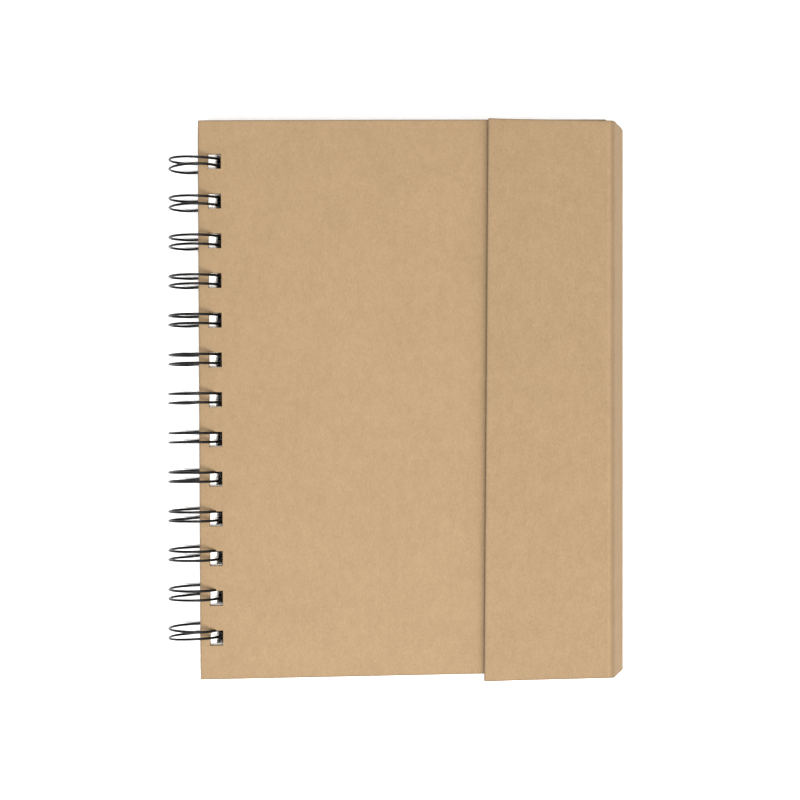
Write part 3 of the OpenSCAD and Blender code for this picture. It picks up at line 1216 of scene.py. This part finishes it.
def half_gap(angle, finger=None):
    """Half the distance between the two wires of a finger, eased between the known places."""
    for (a0, g0), (a1, g1) in zip(SPACING, SPACING[1:]):
        if angle <= a1:
            gap = (g0 + (g1 - g0) * ease((angle - a0) / (a1 - a0))) * MM
            break
    return gap - PINCHED.get(finger, 0) * ease(1 - abs(angle - PINCH_AT) / PINCH_REACH)


def lean_back(angle):
    """Behind the spine both wires of a finger drift a little towards the foot."""
    return -LEAN_BACK * ease((angle - LEAN_FROM) / LEAN_GROWS) * ease((TIP - angle) / LEAN_ENDS)


def round_the_roll(angle, y, radius=LOOP):
    """A point of the flat line, wrapped on the roll, in the book's axes."""
    turn = math.radians(angle)
    return Vector((radius * math.cos(turn), y, radius * math.sin(turn)))


def degrees_round(length):
    """The turn round the roll that a length of wire takes."""
    return math.degrees(length / LOOP)


print("loops", round(2 * LOOP / MM, 1), "mm across, from", LINK, "to", TIP, "deg")

# %% [markdown]
# ## One finger after another
#
# A finger starts at the link, turns a small corner, runs round the roll to its tip, bends back on
# itself there and returns the same way. Each finger also stands a few hundredths of a millimetre
# out of line, from a seeded draw, because a real closing tool leaves them so.

# %% The wire's path
CORNER_STEPS, ROUND_THE_LOOP, TIP_STEPS = 6, 60, 5
TIGHTER = 0.994
ASTRAY = 0.07
ROUNDER, FLATTER = 0.03, 0.05
jitter = random.Random(7)


def flat_finger(k):
    """Finger k drawn flat, as degrees round the roll and way along it from the finger's middle."""
    finger = []
    side = half_gap(LINK) + CORNER
    for j in range(CORNER_STEPS + 1):
        turn = math.pi / 2 * j / CORNER_STEPS
        rise = degrees_round(CORNER * (1 - math.cos(turn)))
        finger.append((LINK - degrees_round(CORNER) + rise, -side + CORNER * math.sin(turn)))
    for j in range(1, ROUND_THE_LOOP + 1):
        angle = LINK + (TIP - LINK) * j / ROUND_THE_LOOP
        finger.append((angle, -half_gap(angle, k)))
    tip = half_gap(TIP)
    for j in range(1, TIP_STEPS + 1):
        turn = math.pi / 2 * j / TIP_STEPS
        finger.append((TIP + degrees_round(tip * math.sin(turn)), -tip * math.cos(turn)))
    return finger + [(angle, -offset) for angle, offset in reversed(finger[:-1])]


path = []
loop_middles = [(foot + head) / 2 for foot, head in cover_holes[2]]
centre_loop = loop_middles[len(loop_middles) // 2]
for k, middle in enumerate(loop_middles):
    middle = centre_loop + (middle - centre_loop) * TIGHTER
    middle += jitter.uniform(-ASTRAY, ASTRAY) * MM
    radius = LOOP + jitter.uniform(-FLATTER, ROUNDER) * MM
    finger = flat_finger(k)
    if k == 0:
        path.append(round_the_roll(finger[0][0], middle + finger[0][1] - STUB))
    path += [round_the_roll(angle, middle + offset + lean_back(angle), radius)
             for angle, offset in finger]
path.append(round_the_roll(finger[-1][0], middle + finger[-1][1] + STUB))
length = sum((b - a).length for a, b in zip(path, path[1:]))
print("wire", round(length, 2), "m long in", len(loop_middles), "twin loops")

# %% [markdown]
# ## The wire itself
#
# A curve with a round bevel gives the path its body. That keeps the wire one piece from end to end,
# equally thick in every bend, which a swept mesh would have to be made to do.

# %% The wire itself
curve = bpy.data.curves.new("binding_wire_loops", "CURVE")
curve.dimensions = "3D"
curve.bevel_depth = WIRE / 2
curve.bevel_resolution = 4
curve.use_fill_caps = True
spline = curve.splines.new("POLY")
spline.points.add(len(path) - 1)
for point, place in zip(spline.points, path):
    point.co = (*(lay @ place), 1)
spline.use_smooth = True
curve.materials.append(black_wire)
wire = bpy.data.objects.new("binding_wire_loops", curve)
bpy.context.scene.collection.objects.link(wire)
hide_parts("binding_wire")
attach(wire, "back")
print(wire.name, "is", WIRE / MM, "mm thick")

# %% [markdown]
# ## Working parts that stay
#
# The magnet and the steel plate have the right shape already. They keep their meshes and get a
# nickel finish, which reads its place from the object.

# %% Finishes on the parts that stay
for node in ("flap_magnet", "front_steel_plate"):
    part = frame["nodes"][node]
    part.data.materials.clear()
    part.data.materials.append(nickel)
    print(node, "is", nickel.name)

# %% [markdown]
# ## Table
#
# The table is one wide sheet of nearly white card, very slightly uneven, so that soft shadows have
# something real to fall on. It is pale enough to stay white beside the book.

# %% Table
TABLE_SIDES = (-1.6, 0, 1.6)
CARD, PALER_CARD = (0.96, 0.96, 0.96, 1), (0.98, 0.98, 0.98, 1)


def table_finish():
    """Pale card with a faint cloud and a fine tooth."""
    finish = Finish("table", roughness=0.95, specular=0.1)
    at = finish.object_place()
    cloud = finish.noise(at, size_mm=60.0, detail=3.0)
    tooth = finish.noise(at, size_mm=0.8, detail=3.0)
    finish.put(finish.blend(cloud, CARD, PALER_CARD), finish.shader.inputs["Base Color"])
    finish.put(finish.bump(tooth, depth_mm=0.02, strength=0.1), finish.shader.inputs["Normal"])
    return finish.material


bm = bmesh.new()
plan(bm, TABLE_SIDES, TABLE_SIDES, 0, None)
mesh = bpy.data.meshes.new("table")
bm.to_mesh(mesh)
bm.free()
mesh.materials.append(table_finish())
table = bpy.data.objects.new("table", mesh)
bpy.context.scene.collection.objects.link(table)
print("table", TABLE_SIDES[-1] - TABLE_SIDES[0], "m wide")

# %% [markdown]
# ## The end
#
# The lesson ends here.
